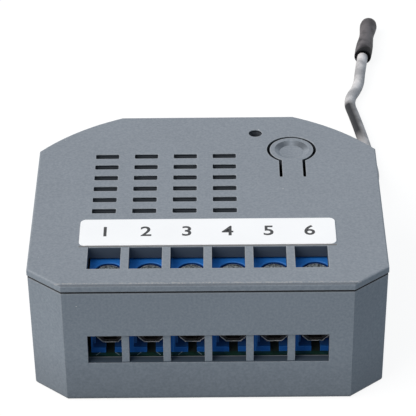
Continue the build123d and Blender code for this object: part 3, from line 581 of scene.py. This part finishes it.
# Clamp screws and cages
# Steel, turned or pressed, then zinc plated and passivated clear. The slotted heads are dull,
# with turning marks and painted glints on their edges. The cages are painted in shade, with
# painted glints only along their lower edges.
zinc_light = (0.5, 0.55, 0.56)
zinc_dark = (0.06, 0.064, 0.066)
zinc_bright = (1.0, 0.98, 0.94)
zinc_shadow = (0.03, 0.026, 0.024)
dull_from = 0.35
dull_to = 0.6
glint_size = 0.9 * mm
glint_from = 0.38
glint_to = 0.48
lip_round = 0.24 * mm
lip_gain = 8.0
harsh_detail = 4.0
rough_spread = 0.3
mark_share = 1 / 3
mark_strength = 0.8
mark_round = 0.06 * mm
turned_rough = 0.42
turned_patch = 0.3 * mm
turned_relief = 0.04 * mm
pressed_rough = 0.3
pressed_patch = 0.6 * mm
pressed_relief = 0.01 * mm


def zinc_finish(name, roughness, patch, depth, shaded_inside=False):
    """Zinc plating with painted glints on its edges. Where it is shaded inside, it is painted dark, with
    painted glints only on its lower edges.
    """
    finish, tree, shader = new_finish(name, roughness, metallic=0.0 if shaded_inside else 1.0)
    patches = cloudy(tree, patch, harsh_detail)
    # Painted glints: bright patches laid along the edges.
    glints = cloudy(tree, glint_size, soft_detail)
    bright = graded(tree, glints, zinc_light, zinc_bright, glint_from, glint_to)
    if shaded_inside:
        # Painted shade over the whole cage, with painted glints only where its edges face down.
        colour = zinc_shadow
        facing = parts_of(tree, rounded_normal(tree, lip_round))
        pale = reckoned(tree, "MULTIPLY", facing["Z"], -lip_gain, clamp=True)
    else:
        colour = graded(tree, patches, zinc_dark, zinc_light, dull_from, dull_to)
        pale = edge_share(tree, lip_round, lip_gain)
    tree.links.new(blended(tree, pale, colour, bright), shader.inputs["Base Color"])
    rough = reckoned(tree, "MULTIPLY_ADD", patches, rough_spread, roughness - rough_spread / 2)
    tree.links.new(rough, shader.inputs["Roughness"])
    marks = cloudy(tree, patch * mark_share, fine_detail)
    embossed(tree, shader, marks, depth, mark_strength, mark_round)
    return finish


turned = zinc_finish("zinc_turned", turned_rough, turned_patch, turned_relief)
dress(turned, *[f"clamp_screw_{number}" for number in pole_numbers])
pressed = zinc_finish("zinc_pressed", pressed_rough, pressed_patch, pressed_relief, shaded_inside=True)
dress(pressed, *[f"clamp_cage_{number}" for number in pole_numbers])

# Relay, supply and radio parts
# What the case hides: the relay in its black cover, the reservoir capacitor in its sleeve, the
# ferrite transformer and choke, chips, and the radio in its tin can. Each is a bought part with
# the usual skin of its kind.
moulded_dark = 0.8
moulded_strength = 0.6
metal_dark = 0.75
metal_relief = 0.01 * mm
metal_strength = 0.5
wound_rough = 0.3
wound_dark = 0.35
wound_from = 0.1
wound_to = 0.6
wound_strength = 0.8
# How far apart a wave texture of scale 1 draws its straight bands.
wave_period = 0.314
relay_black = (0.02, 0.021, 0.023)
coil_copper = (0.72, 0.3, 0.1)
winding_copper = (0.75, 0.34, 0.12)
iron_grey = (0.45, 0.45, 0.44)
strip_grey = (0.3, 0.29, 0.26)
solder_grey = (0.62, 0.62, 0.63)
can_grey = (0.6, 0.6, 0.59)
capacitor_navy = (0.015, 0.017, 0.04)
ferrite_grey = (0.045, 0.043, 0.042)
epoxy_black = (0.018, 0.018, 0.019)
varistor_blue = (0.02, 0.09, 0.3)
resistor_green = (0.2, 0.32, 0.27)
switch_black = (0.015, 0.015, 0.016)
lens_grey = (0.5, 0.51, 0.54)


def moulded(name, colour, roughness, patch=0.3 * mm, relief=0.01 * mm):
    """Moulded, dipped or fired skin: a colour with a fine grain."""
    finish, tree, shader = new_finish(name, roughness)
    pattern = cloudy(tree, patch, fine_detail)
    uneven = graded(tree, pattern, dimmed(colour, moulded_dark), colour)
    tree.links.new(uneven, shader.inputs["Base Color"])
    embossed(tree, shader, pattern, relief, moulded_strength)
    return finish


def metal(name, colour, roughness, patch=0.4 * mm, stretch=(1, 1, 1)):
    """Bare or plated metal with faint streaks."""
    finish, tree, shader = new_finish(name, roughness, metallic=1.0)
    pattern = cloudy(tree, patch, fine_detail, stretch)
    uneven = graded(tree, pattern, dimmed(colour, metal_dark), colour)
    tree.links.new(uneven, shader.inputs["Base Color"])
    embossed(tree, shader, pattern, metal_relief, metal_strength)
    return finish


def wound(name, colour, wire, direction):
    """Enamelled wire laid turn beside turn across a direction of the piece."""
    finish, tree, shader = new_finish(name, wound_rough, metallic=1.0)
    turns = banded(tree, direction, wave_period / wire)
    shaded = graded(tree, turns, dimmed(colour, wound_dark), colour, wound_from, wound_to)
    tree.links.new(shaded, shader.inputs["Base Color"])
    embossed(tree, shader, turns, wire / 2, wound_strength)
    return finish


dress(moulded("relay_black", relay_black, roughness=0.35),
      "relay_cover", "relay_base", "relay_bobbin", "transformer_base")
dress(wound("coil_wire", coil_copper, wire=0.12 * mm, direction="X"), "relay_winding")
dress(wound("winding_wire", winding_copper, wire=0.25 * mm, direction="Z"),
      "transformer_winding", "choke_winding")
dress(metal("soft_iron", iron_grey, roughness=0.45), "relay_core", "relay_yoke", "relay_armature")
dress(metal("tinned_strip", strip_grey, roughness=0.4, patch=0.3 * mm, stretch=(1, 1, 0.3)),
      "terminal_contacts", "relay_coil_pins", "relay_blade", "relay_contact_open", "relay_contact_closed")
dress(metal("solder", solder_grey, roughness=0.25, patch=0.5 * mm), "solder_joints")
dress(metal("tin_can", can_grey, roughness=0.35, patch=0.3 * mm, stretch=(0.2, 1, 1)),
      "radio_shield", "radio_crystal", "tact_switch_frame")
dress(moulded("capacitor_sleeve", capacitor_navy, roughness=0.28, patch=0.6 * mm),
      "bulk_capacitor", "output_capacitor")
dress(moulded("ferrite", ferrite_grey, roughness=0.5, patch=0.2 * mm, relief=0.03 * mm),
      "transformer_core", "choke_core")
dress(moulded("chip_epoxy", epoxy_black, roughness=0.5, patch=0.1 * mm),
      "bridge_rectifier", "power_chip", "voltage_regulator", "optocoupler", "radio_chip")
dress(moulded("varistor_coat", varistor_blue, roughness=0.35, patch=0.7 * mm, relief=0.04 * mm), "varistor")
dress(moulded("resistor_coat", resistor_green, roughness=0.6, relief=0.03 * mm), "fusible_resistor")
dress(moulded("switch_black", switch_black, roughness=0.4),
      "tact_switch_body", "tact_switch_plunger", "led_spacer")
dress(moulded("lens_grey", lens_grey, roughness=0.18, patch=0.8 * mm), "status_led")

# Terminal label
# A strip of white polyester film with rounded corners, stuck on behind the screw windows. Its
# satin top carries the pole numbers in dark grey ribbon print.
film_white = (1.0, 1.0, 1.0)
film_shade = (0.97, 0.97, 0.972)
film_rough = 0.42
film_patch = 6.0 * mm
film_wave = 2.5 * mm
film_relief = 0.02 * mm
film_strength = 0.3
film_corner = 0.8 * mm
corner_steps = 10
film_edge = 0.03 * mm
edge_steps = 2
ink_grey = (0.03, 0.032, 0.036)
ink_rough = 0.5
ink_thick = 0.006 * mm
numeral_high = 2.2 * mm
numeral_share = 0.69
numeral_bolder = 0.016
numeral_shift = -0.65 * mm


def film_finish():
    """White film that lies almost flat."""
    finish, tree, shader = new_finish("label_film", film_rough)
    patches = graded(tree, cloudy(tree, film_patch, soft_detail), film_shade, film_white)
    tree.links.new(patches, shader.inputs["Base Color"])
    embossed(tree, shader, cloudy(tree, film_wave, soft_detail), film_relief, film_strength)
    return finish


film = bmesh.new()
bmesh.ops.create_cube(film, size=1.0)
size = label_high - label_low - Vector((0, 0, ink_thick))
bmesh.ops.scale(film, vec=size, verts=film.verts)
upright = [e for e in film.edges if abs(e.verts[0].co.z - e.verts[1].co.z) > size.z / 2]
bmesh.ops.bevel(film, geom=upright, offset=film_corner, segments=corner_steps, profile=0.5,
                affect="EDGES", material=-1)
rim = [e for e in film.edges if e.verts[0].co.z > 0 and e.verts[1].co.z > 0]
bmesh.ops.bevel(film, geom=rim, offset=film_edge, segments=edge_steps, profile=0.5,
                affect="EDGES", material=-1)
bmesh.ops.translate(film, vec=label_low + size / 2, verts=film.verts)
label = finished("label_sheet", film, film_finish())
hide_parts("terminal_label")

ink = plain_print("label_ink", ink_grey, ink_rough)
for number, pole in zip(pole_numbers, pole_places):
    text = bpy.data.curves.new(f"numeral_{number}", "FONT")
    text.body = str(number)
    text.align_x = "CENTER"
    text.align_y = "CENTER"
    text.size = numeral_high / numeral_share
    text.offset = numeral_bolder * text.size
    text.extrude = ink_thick / 2
    drawn = bpy.data.objects.new(f"numeral_{number}_drawn", text)
    scene.collection.objects.link(drawn)
    bpy.context.view_layer.update()
    shape = bpy.data.meshes.new_from_object(drawn)
    bpy.data.objects.remove(drawn)
    middle = (pole.x + numeral_shift, (label_low.y + label_high.y) / 2, label_high.z - ink_thick / 2)
    shape.transform(Matrix.Translation(middle))
    numeral = bpy.data.objects.new(f"numeral_{number}", shape)
    scene.collection.objects.link(numeral)
    shape.materials.clear()
    shape.materials.append(ink)
    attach(numeral, "housing")

# Antenna wire and its cap
# A stranded wire in light grey PVC, with painted shade along one side up to an old kink. It
# leaves the rear right side of the case, drops to the floor and runs back along it. A dark
# shrink sleeve, closed at its far end, caps it.
wire_radius = 0.9 * mm
exit_angle = radians(48.8)
exit_reach = 30.34 * mm
exit_centre_y = -6.53 * mm
exit_height = 7.3 * mm
first_run = 3.2 * mm
route = (
    (24.3, 23.2, 5.6),
    (25.5, 29.6, 2.9),
    (25.5, 36.6, 1.2),
    (24.8, 43.6, 0.9),
    (23.75, 51.4, 0.9),
    (22.9, 56.4, 0.9),
    (24.95, 61.0, 0.9),
    (25.4, 65.3, 1.5),
    (26.1, 69.9, 1.5),
)

exit_way = Vector((cos(exit_angle), sin(exit_angle), 0))
exit_place = Vector((0, exit_centre_y, exit_height)) + exit_way * exit_reach
wire_points = [exit_place, exit_place + exit_way * first_run] + [Vector(point) * mm for point in route]
cap_way = (wire_points[-1] - wire_points[-2]).normalized()

pvc_light = (0.7, 0.685, 0.69)
pvc_dark = (0.36, 0.36, 0.37)
pvc_patch = 2.6 * mm
pvc_from = 0.35
pvc_to = 0.6
pvc_wave = 0.8 * mm
pvc_relief = 0.03 * mm
pvc_strength = 0.5
wire_rough = 0.5
wire_gloss = 0.15
side_shade_grey = (0.022, 0.024, 0.028)
side_shade_x = 25.9 * mm
side_shade_y = 43.6 * mm
side_shade_lean = -0.15
side_shade_wide = 1.35 * mm
side_shade_start = 55.5 * mm
side_shade_fade = 1.2 * mm
side_shade_end = 39.5 * mm
side_shade_thin = 6.6 * mm


def ramped(tree, first, second, wide):
    """0 where the first value is the smaller, up to 1 where it is larger by the width."""
    return reckoned(tree, "DIVIDE", reckoned(tree, "SUBTRACT", first, second), wide, clamp=True)


def wire_finish():
    """Grey PVC with painted shade along its left side, on the stretch between case and kink."""
    finish, tree, shader = new_finish("wire_pvc", wire_rough)
    shader.inputs["Specular IOR Level"].default_value = wire_gloss
    patches = cloudy(tree, pvc_patch, fine_detail)
    colour = graded(tree, patches, pvc_dark, pvc_light, pvc_from, pvc_to)
    axes = parts_of(tree, place_of(tree))
    # Painted shade along the wire's left side, between the case and the kink.
    edge = reckoned(tree, "MULTIPLY_ADD", axes["Y"], side_shade_lean, side_shade_x - side_shade_lean * side_shade_y)
    left = ramped(tree, edge, axes["X"], side_shade_wide)
    before = ramped(tree, side_shade_start, axes["Y"], side_shade_fade)
    beyond = ramped(tree, axes["Y"], side_shade_end, side_shade_thin)
    colour = blended(tree, times(tree, left, before, beyond), colour, side_shade_grey)
    tree.links.new(colour, shader.inputs["Base Color"])
    embossed(tree, shader, cloudy(tree, pvc_wave, soft_detail), pvc_relief, pvc_strength)
    return finish


line = bpy.data.curves.new("antenna_lead_out", "CURVE")
line.dimensions = "3D"
line.bevel_depth = wire_radius
line.bevel_resolution = 6
line.resolution_u = 12
line.use_fill_caps = True
spline = line.splines.new("NURBS")
spline.points.add(len(wire_points) - 1)
for point, place in zip(spline.points, wire_points):
    point.co = (*place, 1)
spline.order_u = 3
spline.use_endpoint_u = True
pvc = wire_finish()
line.materials.append(pvc)
wire = bpy.data.objects.new("antenna_cord", line)
scene.collection.objects.link(wire)
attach(wire, "housing")
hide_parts("antenna_wire")
dress(pvc, "antenna_lead")

cap_long = 12.5 * mm
cap_rings = (
    (0.25, 1.42), (2.2, 1.455), (3.9, 1.42), (5.4, 1.3), (7.0, 1.2), (8.4, 1.27), (9.8, 1.4), (10.75, 1.455),
    (11.6, 1.32), (12.2, 0.92), (12.4, 0.55),
)
cap_mouth = ((0.9, 0.9), (0.9, 1.12), (0.04, 1.26), (0.0, 1.33))
cap_steps = 40
merge_reach = 0.001 * mm
sleeve_light = (0.125, 0.116, 0.123)
sleeve_dark = (0.036, 0.034, 0.038)
mouth_shade_black = (0.004, 0.005, 0.007)
sleeve_patch = 2.4 * mm
sleeve_from = 0.36
sleeve_to = 0.58
sleeve_grain = 0.5 * mm
sleeve_relief = 0.03 * mm
sleeve_strength = 0.6
mouth_dark_long = 1.1 * mm
mouth_lean = 0.65
mouth_soft = 0.25 * mm
bulb_start = 2.9 * mm
bulb_fade = 1.0 * mm
bulb_share = 0.55


def sleeve_finish():
    """Shrunk sleeve, darker over the bulb at its end, with painted shade black round its mouth."""
    finish, tree, shader = new_finish("shrink_sleeve", wire_rough)
    shader.inputs["Specular IOR Level"].default_value = wire_gloss
    patches = cloudy(tree, sleeve_patch, soft_detail)
    colour = graded(tree, patches, sleeve_dark, sleeve_light, sleeve_from, sleeve_to)
    bulb_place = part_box("antenna_cap")[1].y - bulb_start
    bulb = ramped(tree, parts_of(tree, place_of(tree))["Y"], bulb_place, bulb_fade)
    colour = blended(tree, times(tree, bulb, bulb_share), colour, sleeve_dark)
    # Painted shade: black round the sleeve's mouth, leaning to one side.
    leaning = cap_way - Vector((mouth_lean, 0, 0))
    along = reach_along(tree, place_of(tree), leaning)
    mouth = ramped(tree, wire_points[-1].dot(leaning) + mouth_dark_long, along, mouth_soft)
    colour = blended(tree, mouth, colour, mouth_shade_black)
    tree.links.new(colour, shader.inputs["Base Color"])
    embossed(tree, shader, cloudy(tree, sleeve_grain, soft_detail), sleeve_relief, sleeve_strength)
    return finish


sleeve = bmesh.new()
profile = cap_mouth + cap_rings + ((cap_long / mm, 0.0),)
corners = [sleeve.verts.new((radius * mm, 0, along * mm)) for along, radius in profile]
for first, second in zip(corners, corners[1:]):
    sleeve.edges.new((first, second))
bmesh.ops.spin(sleeve, geom=sleeve.verts[:] + sleeve.edges[:], cent=(0, 0, 0), axis=(0, 0, 1),
               angle=2 * pi, steps=cap_steps, use_merge=True)
bmesh.ops.remove_doubles(sleeve, verts=sleeve.verts, dist=merge_reach)
open_rim = [e for e in sleeve.edges if e.is_boundary]
bmesh.ops.holes_fill(sleeve, edges=open_rim)
turn = Vector((0, 0, 1)).rotation_difference(cap_way).to_matrix().to_4x4()
bmesh.ops.transform(sleeve, matrix=Matrix.Translation(wire_points[-1]) @ turn, verts=sleeve.verts)
cap = finished("antenna_sleeve", sleeve, sleeve_finish(), smooth=True)
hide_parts("antenna_cap")

# Floor, light and camera
# A white table under a soft daylight from the left and above, seen from the photograph's high
# front angle through a long lens.
floor_reach = 3.0
floor_grey = (0.14, 0.14, 0.14)
floor_glow = 0.9
floor_rough = 0.9
sky_light = 0.48
sky_tint = (0.87, 1.0, 1.13)
key_tint = (1.09, 1.0, 0.92)
key_strength = 2.4
key_from = Vector((-0.707, -0.337, 0.622))
key_spread = radians(60)
pitch_down = radians(33.425)
yaw = radians(-0.3)
roll = radians(-0.636)
camera_place = Vector((1.383, -257.385, 187.218)) * mm
focal_pixels = 2218.135
image_pixels = 416
sensor = 36.0


def seen_directly(tree):
    """1 for the camera and for what metal or glass shows of the surroundings."""
    path = tree.nodes.new("ShaderNodeLightPath")
    seen = reckoned(tree, "MAXIMUM", path.outputs["Is Camera Ray"], path.outputs["Is Glossy Ray"])
    return reckoned(tree, "MAXIMUM", seen, path.outputs["Is Transmission Ray"])


table = bmesh.new()
bmesh.ops.create_grid(table, x_segments=1, y_segments=1, size=floor_reach)
table_data = bpy.data.meshes.new("table_top")
table.to_mesh(table_data)
table.free()
floor = bpy.data.objects.new("table_top", table_data)
scene.collection.objects.link(floor)
table_finish, tree, shader = new_finish("table_white", floor_rough)
feed(tree, shader.inputs["Base Color"], floor_grey)
feed(tree, shader.inputs["Specular IOR Level"], 0.0)
feed(tree, shader.inputs["Emission Color"], white)
feed(tree, shader.inputs["Emission Strength"], times(tree, seen_directly(tree), floor_glow))
table_data.materials.append(table_finish)

world = bpy.data.worlds.new("daylight")
world.use_nodes = True
scene.world = world
tree = world.node_tree
background = tree.nodes["Background"]
strength = reckoned(tree, "MULTIPLY_ADD", seen_directly(tree), 1 - sky_light, sky_light)
feed(tree, background.inputs["Strength"], strength)
feed(tree, background.inputs["Color"], blended(tree, seen_directly(tree), sky_tint, white))

lamp = bpy.data.lights.new("window_light", "SUN")
lamp.energy = key_strength
lamp.angle = key_spread
lamp.color = key_tint
key = bpy.data.objects.new("window_light", lamp)
key.location = key_from
key.rotation_euler = (-key_from).to_track_quat("-Z", "Y").to_euler()
scene.collection.objects.link(key)

forward = Vector((sin(yaw) * cos(pitch_down), cos(yaw) * cos(pitch_down), -sin(pitch_down)))
level_right = Vector((cos(yaw), -sin(yaw), 0))
level_up = level_right.cross(forward)
right = level_right * cos(roll) + level_up * sin(roll)
up = level_up * cos(roll) - level_right * sin(roll)
aim = Matrix((right, up, -forward)).transposed().to_4x4()
lens = bpy.data.cameras.new("camera")
lens.sensor_width = sensor
lens.lens = focal_pixels / image_pixels * sensor
lens.clip_start = 0.01
lens.clip_end = 20.0
camera = bpy.data.objects.new("camera", lens)
camera.matrix_world = Matrix.Translation(camera_place) @ aim
scene.collection.objects.link(camera)
scene.camera = camera
scene.view_settings.view_transform = "Standard"
